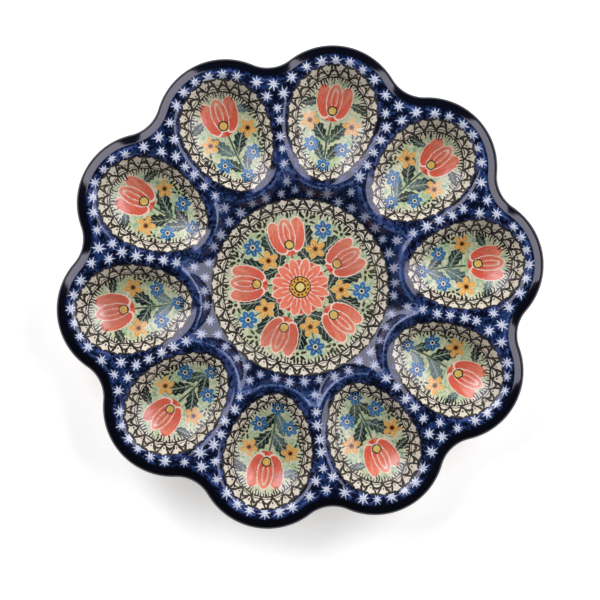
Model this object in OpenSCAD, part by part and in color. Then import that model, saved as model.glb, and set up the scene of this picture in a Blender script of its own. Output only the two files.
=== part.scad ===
// Deviled egg platter: a ten-lobed stoneware plate with ten egg wells round a shallow centre bowl.
// Millimetres, +Z up. The origin is the middle of the foot ring's resting face.
// One lobe, with its egg well, lies along +X.
// The ware is one fired piece. What is laid on it in zones is made as separate coats, let in flush:
// the painted lining of each egg well, the painted lining of the centre bowl,
// and the clear glaze of the recess inside the foot ring.

/* [Outline] */
// Number of lobes, each with one egg well
lobes = 10; // [8:1:10]
// Overall width across opposite lobe tips
overall_d = 280; // [272:1:300]
// Radius of each lobe of the outline
lobe_r = 40; // [37:0.5:43]
// Radius of the hollow between two lobes
notch_r = 21; // [16:0.5:26]
// Height from the foot's resting face to the top of the rim
height = 28; // [27:0.5:34]

/* [Ware and coats] */
// Thickness of the ware, coats included
wall = 6; // [5:0.5:7]
// Thickness of each coat
coat = 0.5; // [0.3:0.1:0.8]

/* [Rim] */
// Radius of the rolled edge at the top of the rim
lip_r = 5.5; // [4:0.5:6]
// Height of the rim's outer edge
lip_h = 7; // [6.5:0.5:8]
// Bevel under the rim's outer edge
lip_bevel = 1; // [0.6:0.2:1.4]
// Width of the level band between the rolled edge and the top's fall, at a hollow
level_w = 2; // [1:0.5:4]
// How far the top falls from the rim to the crest round the centre bowl
dish_drop = 4.5; // [2:0.5:6]

/* [Egg wells] */
// Length of a well's mouth, measured toward the centre
well_long = 70; // [64:1:72]
// Width of a well's mouth at its widest
well_w = 53; // [46:1:54]
// Depth of a well below the top around it
well_depth = 15; // [12:0.5:17]
// Share of the well's length that lies outside its widest section
nose_share = 0.41; // [0.38:0.01:0.46]
// Distance from the lobe tip to the well's mouth
nose_gap = 10; // [8:0.5:13]
// How far below the top the painted lining ends
lining_drop = 2; // [1.2:0.2:2.6]

/* [Centre bowl] */
// Width of the crest between a well's narrow end and the centre bowl
crest_w = 3; // [2:0.5:5]
// Radius of the crest's curve round a well's narrow end, seen from above
crest_curve_r = 29.5; // [27:0.5:31]
// Width of the bowl's slope below the crest, seen from above
slope_w = 6; // [4:0.5:8]
// Depth from the crest to the edge of the painted lining
bowl_depth = 8; // [6:0.5:9]
// Depth from the edge of the painted lining to the flat floor
bowl_sag = 2.5; // [1.5:0.5:3.5]
// Reach of the bowl's slope between two wells, past the crest
cusp_w = 11.5; // [9:0.5:13]
// Width of the lining's slope from its edge down to the flat floor, seen from above
floor_slope_w = 15; // [11:1:20]

/* [Foot] */
// How far the foot ring's outer face lies outside the edge of the centre lining
foot_reach = 2; // [0:0.5:4]
// Width of the foot ring's resting face, its two bevels included
foot_w = 6; // [5:0.5:8]
// Bevel on the foot ring's lower edges
foot_bevel = 1; // [0.5:0.1:1.5]

/* [Hidden] */
$fn = 96;
// Overrun of the cutting shapes past the faces that they cut, and of the plate's hollows into its hub
over = 2;
// Flat steps that draw the rolled edge, each part of a well's side, its back and a lining's outline
lip_steps = 4;
well_steps = 4;
back_steps = 3;
outline_steps = 12;
// Share of the wall below the top at which the swelling under a well begins
back_share = 0.8;
// Share of the lobe's radius by which the round hub of the plate reaches past the lobes' middles
hub_share = 0.2;

tip_r = overall_d / 2;
pitch = 360 / lobes;
lobe_c = tip_r - lobe_r;
notch_c = lobe_c * cos(pitch / 2) + sqrt(pow(lobe_r + notch_r, 2) - pow(lobe_c * sin(pitch / 2), 2));
lobe_turn = atan2(notch_c * sin(pitch / 2), notch_c * cos(pitch / 2) - lobe_c);
notch_turn = asin(lobe_c * sin(pitch / 2) / (lobe_r + notch_r));
hub_r = lobe_c + lobe_r * hub_share;
flat_r = notch_c - notch_r - lip_r - level_w;

nose = well_long * nose_share;
tail = well_long - nose;
well_r = tip_r - nose_gap - nose;
crest_r = well_r - tail - crest_w;
lining_r = crest_r - slope_w;
floor_r = lining_r - floor_slope_w;
foot_r = lining_r + foot_reach;
mouth_r = crest_r + cusp_w;
knee_r = mouth_r + wall / 2;

crest_z = height - dish_drop;
lining_z = crest_z - bowl_depth;
floor_z = lining_z - bowl_sag;
under_z = floor_z - wall;
dish_slope = dish_drop / (flat_r - crest_r);
tilt = atan(dish_slope);
underbody_r = flat_r - (lip_h - wall) / dish_slope;

// A well is part of a body turned about an axis above the top
axis_h = (pow(well_w / 2, 2) - pow(well_depth, 2)) / (2 * well_depth);
girth_r = axis_h + well_depth;

ware_colour = "#1c2f6b";
painted_colour = "#c6cfae";
clear_colour = "#e6dcc6";

function well_name(i) = str("well_glaze_", i < 9 ? "0" : "", i + 1);

// Height of the top surface at a distance r from the middle
function top_z(r) = height - dish_slope * max(0, flat_r - r);

// Points of an arc about c
function arc(c, r, from, to, steps) = [
    for (i = [0:steps])
        let (turn = from + (to - from) * i / steps)
        c + r * [cos(turn), sin(turn)]
];

// Radius of the arc that draws a well's side over a length a
function side_r(a) = (pow(a, 2) + pow(well_depth, 2)) / (2 * well_depth);

// Angle of that arc where it has risen past the well's mouth by the overrun
function side_end(a) = acos((side_r(a) - well_depth - over) / side_r(a));

// Radius of the turned body at a distance y from its widest section
function egg_r(a, y) = girth_r - side_r(a) + sqrt(pow(side_r(a), 2) - pow(y, 2));

// Length of the turned body's level outline at a depth d, on a side of length a
function level_end(a, d) = sqrt(pow(side_r(a), 2) - pow(side_r(a) - well_depth + d, 2));

// Outline of a well at a depth d below its mouth
function well_outline(d) = [
    for (i = [0:2 * outline_steps - 1])
        let (turn = 180 * i / outline_steps)
        let (a = cos(turn) > 0 ? nose : tail)
        let (x = level_end(a, d) * cos(turn))
        let (half = sqrt(max(0, pow(egg_r(a, x), 2) - pow(axis_h + d, 2))))
        [x, sin(turn) < 0 ? -half : half]
];

// Copies its children round the middle, one to each lobe
module each_lobe(from = 0) {
    for (i = [0:lobes - 1])
        rotate([0, 0, pitch * (i + from)]) children();
}

// Places its children at a well: outward is +X, and the top surface is the XY plane
module at_well() {
    translate([well_r, 0, top_z(well_r)]) rotate([0, -tilt, 0]) children();
}

// The turned body that a well is part of, larger all round by grow
module egg(grow, steps) {
    tail_arc = arc([girth_r - side_r(tail), 0], side_r(tail) + grow, 0, side_end(tail), steps);
    nose_arc = arc([girth_r - side_r(nose), 0], side_r(nose) + grow, -side_end(nose), 0, steps);
    shell = concat(nose_arc, [for (i = [1:steps]) tail_arc[i]]);
    translate([0, 0, axis_h])
        rotate([0, -90, 0])
            rotate_extrude()
                polygon(concat([[0, nose_arc[0][1]]], shell, [[0, tail_arc[steps][1]]]));
}

// Section of the rim in the half plane from a lobe's middle outward
function rim_section(inner) = concat(
    [[inner, height - lip_h], [lobe_r - lip_bevel, height - lip_h], [lobe_r, height - lip_h + lip_bevel]],
    arc([lobe_r - lip_r, height - lip_r], lip_r, 0, 90, lip_steps),
    [[inner, height]]
);

// The scalloped plate with its rolled edge: lobes, the hollows between them and a round hub
module scalloped_plate() {
    each_lobe()
        translate([lobe_c, 0, 0])
            rotate([0, 0, -lobe_turn])
                rotate_extrude(angle = 2 * lobe_turn)
                    polygon(rim_section(0));
    each_lobe(0.5)
        translate([notch_c, 0, 0])
            rotate([0, 0, 180 - notch_turn])
                rotate_extrude(angle = 2 * notch_turn)
                    polygon([for (p = rim_section(hub_r - lobe_c - over)) [lobe_r + notch_r - p[0], p[1]]]);
    translate([0, 0, height - lip_h])
        cylinder(h = lip_h, r = hub_r);
}

// The mass under the centre bowl and the web, up to the level of the rim, with the foot ring
module underbody() {
    foot_in = foot_r - foot_w;
    rotate_extrude()
        polygon([
            [0, under_z + coat],
            [foot_in, under_z + coat],
            [foot_in, foot_bevel],
            [foot_in + foot_bevel, 0],
            [foot_r - foot_bevel, 0],
            [foot_r, foot_bevel],
            [foot_r, under_z],
            [knee_r, top_z(knee_r) - wall],
            [underbody_r, height - lip_h],
            [underbody_r, height],
            [0, height]
        ]);
}

// The underside's swelling below each egg well
module well_backs() {
    each_lobe() at_well() intersection() {
        egg(wall, back_steps);
        translate([-well_long, -well_long, -wall * back_share - 2 * well_long])
            cube(2 * well_long);
    }
}

// What the shallow fall of the top takes off
module dish_cut() {
    rotate_extrude()
        polygon([
            [0, top_z(0)],
            [flat_r + over, height + dish_slope * over],
            [0, height + dish_slope * over]
        ]);
}

// The hollow of the centre bowl, with the seat of its lining,
// and with the crests round the wells' narrow ends left standing
module bowl_cut() {
    rise = (top_z(mouth_r) - lining_z) / (mouth_r - lining_r);
    difference() {
        rotate_extrude()
            polygon([
                [0, floor_z - coat],
                [floor_r, floor_z - coat],
                [lining_r, lining_z - coat],
                [lining_r, lining_z],
                [mouth_r, top_z(mouth_r)],
                [mouth_r + over, top_z(mouth_r) + over * rise],
                [0, top_z(mouth_r) + over * rise]
            ]);
        each_lobe() crest_cone();
    }
}

// The drafted round that carries one crest, whose foot clears the lining's edge by a coat's thickness
module crest_cone() {
    draft = slope_w / bowl_depth;
    low = lining_z;
    high = height + over;
    translate([crest_r + crest_curve_r + coat, 0, low])
        cylinder(h = high - low, r1 = crest_curve_r + (crest_z - low) * draft,
            r2 = crest_curve_r - (high - crest_z) * draft);
}

// The hollows of the egg wells
module well_cuts() {
    each_lobe() at_well() intersection() {
        egg(0, well_steps);
        translate([-well_long, -well_long, over - 2 * well_long])
            cube(2 * well_long);
    }
}

// The column over one painted lining
module lining_column() {
    at_well()
        translate([0, 0, -well_depth - over])
            linear_extrude(well_depth + over)
                polygon(well_outline(lining_drop));
}

// The seat that a well's lining is let into
module lining_seat() {
    intersection() {
        at_well() egg(coat, well_steps);
        lining_column();
    }
}

module stoneware_body() {
    color(ware_colour) difference() {
        difference() {
            union() {
                difference() {
                    union() {
                        scalloped_plate();
                        underbody();
                    }
                    dish_cut();
                    bowl_cut();
                }
                well_backs();
            }
            well_cuts();
        }
        each_lobe() lining_seat();
    }
}

module centre_glaze() {
    color(painted_colour)
        rotate_extrude()
            polygon([
                [0, floor_z - coat],
                [floor_r, floor_z - coat],
                [lining_r, lining_z - coat],
                [lining_r, lining_z],
                [floor_r, floor_z],
                [0, floor_z]
            ]);
}

module well_glaze(i) {
    color(painted_colour) rotate([0, 0, pitch * i]) difference() {
        lining_seat();
        at_well() egg(0, well_steps);
    }
}

module foot_recess_glaze() {
    color(clear_colour)
        translate([0, 0, under_z])
            cylinder(h = coat, r = foot_r - foot_w);
}

stoneware_body();
centre_glaze();
foot_recess_glaze();
for (i = [0:lobes - 1])
    well_glaze(i);
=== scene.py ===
# %% [markdown]
# # A deviled egg platter, dressed in glaze and brushwork
# The real object is one fired piece of stoneware: ten egg-shaped wells stand round a shallow centre bowl,
# inside a scalloped, rolled rim. It is dipped in cobalt, stamped with small white stars, and its wells and
# centre are painted by hand under a clear glaze.
# The CAD model gives the sizes and the place of everything, so it is loaded first, as a fixed frame.

# %% Load the frame
import math

import bmesh
import bpy
import numpy as np
from mathutils import Matrix, Vector
from mathutils.kdtree import KDTree


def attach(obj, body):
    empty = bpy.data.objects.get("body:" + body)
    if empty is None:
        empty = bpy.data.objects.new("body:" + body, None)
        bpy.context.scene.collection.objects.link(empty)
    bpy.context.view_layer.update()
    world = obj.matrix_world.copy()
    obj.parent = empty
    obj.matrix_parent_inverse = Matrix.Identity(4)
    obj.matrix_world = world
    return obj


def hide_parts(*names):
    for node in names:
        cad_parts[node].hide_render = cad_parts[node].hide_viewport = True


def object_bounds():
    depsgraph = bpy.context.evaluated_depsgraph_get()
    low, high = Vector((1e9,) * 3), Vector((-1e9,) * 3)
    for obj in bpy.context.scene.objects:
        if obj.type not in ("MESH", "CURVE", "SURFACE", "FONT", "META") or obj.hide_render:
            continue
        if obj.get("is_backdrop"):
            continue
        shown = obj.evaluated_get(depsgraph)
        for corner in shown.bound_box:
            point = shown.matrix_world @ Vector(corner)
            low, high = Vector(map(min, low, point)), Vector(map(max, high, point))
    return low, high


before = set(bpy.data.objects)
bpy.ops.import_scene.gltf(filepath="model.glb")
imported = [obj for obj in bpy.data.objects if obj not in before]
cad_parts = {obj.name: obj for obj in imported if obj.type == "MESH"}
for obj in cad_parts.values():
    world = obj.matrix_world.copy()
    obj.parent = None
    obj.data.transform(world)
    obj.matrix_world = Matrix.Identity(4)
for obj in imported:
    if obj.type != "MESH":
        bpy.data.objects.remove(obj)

cad_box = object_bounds()


def show_box(title, box):
    print(title, [[round(c * 1000, 1) for c in corner] for corner in box])


show_box("CAD box in mm:", cad_box)

# %% [markdown]
# ## Sizes
# All lengths are in millimetres, as a potter would take them off the ware, and are turned into metres only
# when a mesh is made. They repeat the CAD model's own values, because the looks have to sit on its solids.

# %% Sizes of the ware
MM = 0.001
LOBES = 10
PITCH = 2 * math.pi / LOBES
TIP_R, LOBE_R, NOTCH_R = 140.0, 40.0, 21.0
HEIGHT, WALL = 28.0, 6.0
RIM_W, RIM_H = 6.4, 7.0
FLAT_R, DISH_DROP = 119.2, 4.5
WELL_DEPTH, NOSE, TAIL, WELL_HALF_W, WELL_R = 15.0, 28.7, 41.3, 26.5, 101.3
LINING_DROP = 1.4                     # from a well's mouth down to its painted lining
CREST_R, CREST_CURVE_R, CREST_AT, CREST_DRAFT = 57.0, 29.5, 87.0, 0.75
LINING_R, LINING_Z = 51.0, 15.5
FLOOR_R, FLOOR_Z = 36.0, 13.0
MOUTH_R = 68.5
FOOT_R, FOOT_W, UNDER_Z = 53.0, 6.0, 7.0
GLAZE = 0.45

LOBE_C = TIP_R - LOBE_R
NOTCH_C = LOBE_C * math.cos(PITCH / 2) + math.sqrt(
    (LOBE_R + NOTCH_R) ** 2 - (LOBE_C * math.sin(PITCH / 2)) ** 2)
NOTCH_XY = (NOTCH_C * math.cos(PITCH / 2), NOTCH_C * math.sin(PITCH / 2))
LOBE_TURN = math.atan2(NOTCH_XY[1], NOTCH_XY[0] - LOBE_C)
DISH_SLOPE = DISH_DROP / (FLAT_R - CREST_R)
TILT = math.atan(DISH_SLOPE)
AXIS_H = (WELL_HALF_W ** 2 - WELL_DEPTH ** 2) / (2 * WELL_DEPTH)
GIRTH_R = AXIS_H + WELL_DEPTH
WELL_Z = HEIGHT - DISH_SLOPE * (FLAT_R - WELL_R)
CREST_Z = HEIGHT - DISH_DROP
print("radius at the bottom of a hollow:", round(NOTCH_C - NOTCH_R, 1), "mm; a lobe turns",
      round(math.degrees(LOBE_TURN), 1), "degrees")

# %% [markdown]
# ## The surface as a height
# A potter's platter has no sharp corner: where the web turns down into a well, the wet clay is sponged
# round, and the glaze rounds it once more. The solids of the frame have plain edges there.
# So the surface is written as a height over each point, as the lower of two surfaces blended into each
# other over a few millimetres. Every piece on the top side takes its height from this one function, and
# so they all meet.

# %% Blending two surfaces
def lower_of(a, b, blend):
    """The lower of two heights, with the corner between them rounded, and how near that is, from 0 to 1."""
    near = np.maximum(blend - np.abs(a - b), 0) / blend
    return np.minimum(a, b) - near ** 2 * blend / 4, near


def upper_of(a, b, blend):
    """The upper of two heights, with the hollow between them filled softly."""
    return -lower_of(-a, -b, blend)[0]


def to_lobe(x, y):
    """Turns each point into the sector of the lobe along +X, so that one lobe's formulas serve all ten."""
    turn = np.round(np.arctan2(y, x) / PITCH) * PITCH
    return x * np.cos(turn) + y * np.sin(turn), -x * np.sin(turn) + y * np.cos(turn)


# %% The web, the wells and the bowl
SHOULDER, CREST_ROLL, FILLET = 5.4, 3.0, 1.6      # blends at a well's mouth, on a crest and at its foot
FLOOR_CURVE = 1.6                                 # how late the bowl's floor begins to rise
MOUTH_EDGE = 0.4                                  # how much the wide round of a mouth counts as an edge


def web_height(r):
    return HEIGHT - DISH_SLOPE * np.maximum(0, FLAT_R - r)


def long_curve(ahead):
    """Radius of a well's lengthwise curve, which differs between its blunt and its narrow end."""
    length = np.where(ahead > 0, NOSE, TAIL)
    return (length ** 2 + WELL_DEPTH ** 2) / (2 * WELL_DEPTH)


def well_height(x, y, grow=0.0):
    """Height of the egg-shaped hollow in the lobe's own sector, or of the swelling under it with grow."""
    along = x - WELL_R
    drop = np.zeros_like(along)
    for _ in range(6):                # the tilt of the well settles within a few rounds
        a = (along + drop * math.sin(TILT)) / math.cos(TILT)
        side = long_curve(a)
        girth = GIRTH_R - side + np.sqrt(np.maximum((side + grow) ** 2 - a ** 2, 0))
        square = np.where(girth > 0, girth ** 2 - y ** 2, -1)
        drop = np.where(square > 0, AXIS_H - np.sqrt(np.maximum(square, 0)), AXIS_H)
    height = WELL_Z + a * math.sin(TILT) + drop * math.cos(TILT)
    return np.where(square > 0, height, HEIGHT + AXIS_H)


def bowl_height(x, y, r):
    out = np.maximum((r - FLOOR_R) / (LINING_R - FLOOR_R), 0)
    floor = FLOOR_Z + (LINING_Z - FLOOR_Z) * out ** FLOOR_CURVE
    rise = (web_height(MOUTH_R) - LINING_Z) / (MOUTH_R - LINING_R)
    floor = np.where(r > LINING_R, LINING_Z + (r - LINING_R) * rise, floor)
    crest = CREST_Z - (np.hypot(x - CREST_AT, y) - CREST_CURVE_R) / CREST_DRAFT
    return upper_of(floor, crest, FILLET)


def top_height(px, py):
    """Height of the glazed top, and how near a point is to a rounded edge, from 0 to 1."""
    r = np.hypot(px, py)
    x, y = to_lobe(px, py)
    open_top, near_bowl = lower_of(web_height(r), bowl_height(x, y, r), CREST_ROLL)
    height, near_well = lower_of(open_top, well_height(x, y), SHOULDER)
    return height, np.maximum(near_bowl, near_well * MOUTH_EDGE)


axis = np.arange(40.0, 135.0, 10)
print("top on a lobe's axis, every 10 mm:", np.round(top_height(axis, 0 * axis)[0], 1))

# %% [markdown]
# ## The outline
# Ten lobes of 40 mm radius meet ten hollows of 21 mm. Both are arcs, so a line a fixed distance inside the
# edge is again made of arcs, and the rim can be swept round it without a fold.

# %% Walking the outline of one lobe
def outline_point(share, inset):
    """A point of one lobe's outline, from the hollow at share -1 to that at share 1, moved in by inset."""
    lobe_len, notch_len = LOBE_TURN * LOBE_R, (LOBE_TURN - PITCH / 2) * NOTCH_R
    walk = share * (lobe_len + notch_len)
    lobe_angle = np.clip(walk / LOBE_R, -LOBE_TURN, LOBE_TURN)
    notch_angle = LOBE_TURN + math.pi - np.maximum(np.abs(walk) - lobe_len, 0) / NOTCH_R
    on_lobe = np.abs(walk) <= lobe_len
    x = np.where(on_lobe, LOBE_C + (LOBE_R - inset) * np.cos(lobe_angle),
                 NOTCH_XY[0] + (NOTCH_R + inset) * np.cos(notch_angle))
    y = np.where(on_lobe, (LOBE_R - inset) * np.sin(lobe_angle),
                 np.sign(walk) * (NOTCH_XY[1] + (NOTCH_R + inset) * np.sin(notch_angle)))
    return np.stack([x, y], -1)


def lining_edge(turn):
    """A point of the edge of a well's painted lining, seen from above; turn runs round the well."""
    side = long_curve(np.cos(turn))
    a = np.sqrt(side ** 2 - (side - WELL_DEPTH + LINING_DROP) ** 2) * np.cos(turn)
    girth = GIRTH_R - side + np.sqrt(side ** 2 - a ** 2)
    half = np.sqrt(np.maximum(girth ** 2 - (AXIS_H + LINING_DROP) ** 2, 0))
    x = WELL_R + a * math.cos(TILT) + LINING_DROP * math.sin(TILT)
    return np.stack([x, np.sign(np.sin(turn)) * half], -1)


print("lining of a well:", np.round(np.ptp(lining_edge(np.linspace(0, 2 * math.pi, 361)), axis=0), 1), "mm")

# %% [markdown]
# ## Helpers for the meshes
# Each sheet starts as a plain grid from bmesh. Its vertices are then moved to where the surface is, which
# keeps clean rows of four-sided faces. Rows that meet are welded, one lobe's sheet is spun or copied round to
# the other nine, and a Solidify modifier gives the glaze its thickness, as a closed shell.

# %% Rows of points
def polar(radius, turn):
    """Points at a radius from the middle, in each direction."""
    return np.stack([radius * np.cos(turn), radius * np.sin(turn)], -1)


def turned(points, angle):
    c, s = math.cos(angle), math.sin(angle)
    return np.stack([points[:, 0] * c - points[:, 1] * s, points[:, 0] * s + points[:, 1] * c], -1)


def closed(loop):
    """A loop of points, with the first one again at its end."""
    return np.vstack([loop, loop[:1]])


def at_height(xy, z):
    return np.column_stack([xy, z + np.zeros(len(xy))])


def on_top(xy):
    """Points seen from above, lifted onto the glazed top."""
    return at_height(xy, top_height(*xy.T)[0])


# %% Grids, welding and finishing
WELD = 0.02 * MM


def new_grid(rows, bm=None):
    """A bmesh grid, moved to rows of points in millimetres; it may be added to an earlier bmesh."""
    places = np.array(rows)
    last_row, last_column = places.shape[0] - 1, places.shape[1] - 1
    bm = bmesh.new() if bm is None else bm
    made = bmesh.ops.create_grid(bm, x_segments=last_column, y_segments=last_row, size=1.0)
    # the grid's own x and y, from -1 to 1, say which row and column a vertex stands in
    for v in made["verts"]:
        i, j = round((v.co.y + 1) / 2 * last_row), round((v.co.x + 1) / 2 * last_column)
        v.co = Vector(places[i, j]) * MM
    return bm


def weld(bm):
    """Closes seams and poles, and turns all faces the same way."""
    bmesh.ops.remove_doubles(bm, verts=bm.verts, dist=WELD)
    bmesh.ops.dissolve_degenerate(bm, edges=bm.edges, dist=WELD / 4)
    bmesh.ops.recalc_face_normals(bm, faces=bm.faces)


def face_up(bm):
    """Turns an open sheet over if its faces point down."""
    if sum(f.normal.z * f.calc_area() for f in bm.faces) < 0:
        bmesh.ops.reverse_faces(bm, faces=bm.faces)


def finished_mesh(bm, name):
    """A mesh with smooth faces, and a plain edge where a sheet ends."""
    for edge in bm.edges:
        if edge.is_boundary:
            edge.smooth = False
    for face in bm.faces:
        face.smooth = True
    mesh = bpy.data.meshes.new(name)
    bm.to_mesh(mesh)
    bm.free()
    return mesh


def place_object(mesh):
    made = bpy.data.objects.new(mesh.name, mesh)
    bpy.context.scene.collection.objects.link(made)
    return made


def place_piece(mesh, materials, node, coat=0.0):
    """Makes a piece of a mesh, gives a sheet its thickness, hangs it on the root and hides the CAD part it
    stands in for.
    """
    piece = place_object(mesh)
    for material in materials:
        mesh.materials.append(material)
    if coat:
        shell = piece.modifiers.new("glaze thickness", "SOLIDIFY")
        shell.thickness, shell.offset = coat * MM, -1
    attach(piece, "root")
    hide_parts(node)
    print(f"{mesh.name}: {len(mesh.polygons)} faces")


# %% Reading a mesh, and storing values on it
def read_off(items, name, numbers=1, kind=np.float32):
    """One number or more for each vertex, corner or face."""
    values = np.empty(len(items) * numbers, kind)
    items.foreach_get(name, values)
    return values.reshape(-1, numbers) if numbers > 1 else values


def read_mesh(mesh):
    """Vertices and face middles seen from above, in millimetres, then each face corner's vertex and face."""
    spots, middles = [read_off(items, name, 3).astype(float)[:, :2] / MM
                      for items, name in ((mesh.vertices, "co"), (mesh.polygons, "center"))]
    sizes = read_off(mesh.polygons, "loop_total", kind=np.int32)
    vertex = read_off(mesh.loops, "vertex_index", kind=np.int32)
    return spots, middles, vertex, np.repeat(np.arange(len(sizes)), sizes)


def keep(mesh, name, values):
    """Stores three numbers for each face corner, or one for each vertex."""
    on_corners = values.ndim > 1
    layer = mesh.attributes.new(name, *(("FLOAT_VECTOR", "CORNER") if on_corners else ("FLOAT", "POINT")))
    layer.data.foreach_set("vector" if on_corners else "value", values.astype(np.float32).ravel())


def nearest(points, among):
    """For each point, the number of the nearest of some others, and how far off that is."""
    finder = KDTree(len(among))
    for number, spot in enumerate(among):
        finder.insert((spot[0], spot[1], 0), number)
    finder.balance()
    found = [finder.find((p[0], p[1], 0)) for p in points]
    return np.array([f[1] for f in found]), np.array([f[2] for f in found])


# %% [markdown]
# ## Patterns as arithmetic
# The brushwork and the stamps are drawn by the materials, so that they stay crisp from any distance.
# A pattern is easiest to read as arithmetic, so the small class below lets a value that changes over the
# surface be added, multiplied and compared in plain Python, and writes the matching Math nodes.

# %% A value that changes over the surface
def result(node):
    return Tone(node.outputs[0])


def by(operation, reverse=False):
    """A method that adds one Math node; the reverse kind serves a plain number on the left."""
    def method(self, *others):
        values = (*others, self) if reverse else (self, *others)
        return result(add_node(self, "Math", *values, operation=operation))
    return method


class Tone:
    """A number carried by a node socket."""

    def __init__(self, socket):
        self.socket = socket

    __add__, __sub__, __mul__, __truediv__ = by("ADD"), by("SUBTRACT"), by("MULTIPLY"), by("DIVIDE")
    __radd__, __rsub__, __rmul__ = by("ADD", True), by("SUBTRACT", True), by("MULTIPLY", True)
    __abs__, power, least, most = by("ABSOLUTE"), by("POWER"), by("MINIMUM"), by("MAXIMUM")
    sine, cosine, bearing, fraction, whole = by("SINE"), by("COSINE"), by("ARCTAN2"), by("FRACT"), by("FLOOR")
    compare = by("COMPARE")

    def from_to(self, low, high):
        """0 below low, 1 above high, and a soft step between them; low may be the greater."""
        return result(add_node(self, "MapRange", self, low, high, 0.0, 1.0, interpolation_type="SMOOTHSTEP"))

    def line(self, half_width, soft):
        """A drawn line where this value is 0."""
        return abs(self).from_to(half_width + soft, half_width - soft)

    def stripes(self, half_width, soft):
        """A drawn line half way between each two whole numbers."""
        return (self.fraction() - 0.5).line(half_width, soft)


# %% Adding nodes
def add_node(where, kind, *values, **settings):
    """Adds a node, set and fed, to a tree or to the tree of a Tone or a socket."""
    where = where.socket if isinstance(where, Tone) else where
    node = where.id_data.nodes.new("ShaderNode" + kind)
    for name, setting in settings.items():
        setattr(node, name, setting)
    for socket, value in zip(node.inputs, values):
        feed(socket, value)
    return node


def feed(socket, value):
    """Links a socket to a Tone or a socket, or sets it to a plain number or colour."""
    if isinstance(value, Tone):
        value = value.socket
    if isinstance(value, bpy.types.NodeSocket):
        socket.id_data.links.new(value, socket)
    elif isinstance(value, str):
        socket.default_value = (*linear(value), 1.0)
    else:
        socket.default_value = value


def fill(node, values):
    """Feeds inputs by their names."""
    for name, value in values.items():
        feed(node.inputs[name], value)
    return node


def give(out, **values):
    """Feeds the results of a group, and tells how many nodes it has."""
    fill(out, values)
    print(out.id_data.name, "has", len(out.id_data.nodes), "nodes")


def linear(hex_colour):
    """The linear values of a colour that is written as a painter reads it, as #rrggbb."""
    parts = [int(hex_colour[i:i + 2], 16) / 255 for i in (1, 3, 5)]
    return [c / 12.92 if c < 0.04045 else ((c + 0.055) / 1.055) ** 2.4 for c in parts]


# %% Colours, vectors and clouds
def paint(below, above, mask):
    """Lays one colour over another where the mask is 1."""
    node = add_node(mask, "Mix", mask, data_type="RGBA")
    feed(node.inputs[6], below)
    feed(node.inputs[7], above)
    return node.outputs[2]


def coats(colour, *layers):
    """Lays coat after coat; each is a colour and the mask that it is laid through."""
    for above, mask in layers:
        colour = paint(colour, above, mask)
    return colour


def split(vector):
    return [Tone(s) for s in add_node(vector, "SeparateXYZ", vector).outputs]


def combine(x, y, z=0.0):
    return result(add_node(x, "CombineXYZ", x, y, z))


def distance(x, y):
    return (x * x + y * y).power(0.5)


def clouds(vector, scale, detail=3.0, roughness=0.55, warp=0.0):
    """Soft cloudy variation, from 0 to 1; scale is in clouds to the millimetre."""
    return result(fill(add_node(vector, "TexNoise"), {
        "Vector": vector, "Scale": scale, "Detail": detail, "Roughness": roughness, "Distortion": warp}))


def chance(*values):
    """A fixed random number from 0 to 1 for each set of values."""
    return result(add_node(values[0], "TexWhiteNoise", combine(*values)))


def bump(height, strength, depth):
    """A normal that follows a height; depth is in millimetres."""
    node = add_node(height, "Bump")
    return result(fill(node, {"Distance": depth * MM, "Strength": strength, "Height": height}))


# %% Places, groups and materials
def in_mm(tree):
    """Object coordinates, in millimetres."""
    places = add_node(tree, "TexCoord").outputs["Object"]
    return result(fill(add_node(tree, "VectorMath", places, operation="SCALE"), {"Scale": 1 / MM}))


def stored(tree, name, output="Vector"):
    """A value that the mesh carries."""
    return add_node(tree, "Attribute", attribute_name=name).outputs[output]


VECTOR, NUMBER, COLOUR = "NodeSocketVector", "NodeSocketFloat", "NodeSocketColor"


def new_group(name, takes, gives):
    """A shader node group; returns it with its input sockets by name, and the node that its results go to."""
    group = bpy.data.node_groups.new(name, "ShaderNodeTree")
    for way, sockets in (("INPUT", takes), ("OUTPUT", gives)):
        for socket_name, kind in sockets.items():
            group.interface.new_socket(name=socket_name, in_out=way, socket_type=kind)
    start, end = group.nodes.new("NodeGroupInput"), group.nodes.new("NodeGroupOutput")
    return group, {s.name: s for s in start.outputs}, end


def use_group(group, *values):
    return [Tone(s) for s in add_node(values[0], "Group", *values, node_tree=group).outputs]


def new_material(name):
    """A material with its tree and its shader."""
    material = bpy.data.materials.new(name)
    material.use_nodes = True
    return material, material.node_tree, material.node_tree.nodes["Principled BSDF"]

# %% [markdown]
# ## The skin of the glaze
# Fired glaze isn't quite flat: it has a faint orange-peel ripple, small pinholes, and its gloss varies a
# little with its thickness. All the glazes share this, so it is one node group. It puts out a roughness and
# a normal, and each glaze mixes its own colour and keeps its own shader.

# %% Glaze skin, one group for all glazes
skin, given, out = new_group("glaze_skin", {"Place": VECTOR, "Gloss": NUMBER, "Ripple": NUMBER},
                             {"Roughness": NUMBER, "Normal": VECTOR})
place = given["Place"]
ripple, peel = clouds(place, 0.16, 2.0), clouds(place, 1.1, 2.0)
pits = clouds(place, 2.2, 1.0).from_to(0.78, 0.84)
uneven = clouds(place, 0.35, 3.0)
give(out, Roughness=Tone(given["Gloss"]) + uneven * 0.09 + pits * 0.2,
     Normal=bump(ripple * 2.0 + peel * 0.5 - pits * 0.7, given["Ripple"], 0.05))


def glaze_material(name, gloss, ripple_strength):
    """A material with the glaze skin on its shader, and its tree, its shader and the place on the ware."""
    material, tree, shader = new_material(name)
    place = in_mm(tree)
    rough, normal = use_group(skin, place, gloss, ripple_strength)
    fill(shader, {"IOR": 1.52, "Specular Tint": (0.86, 0.84, 1.0, 1.0), "Roughness": rough, "Normal": normal})
    return material, tree, shader, place
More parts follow.
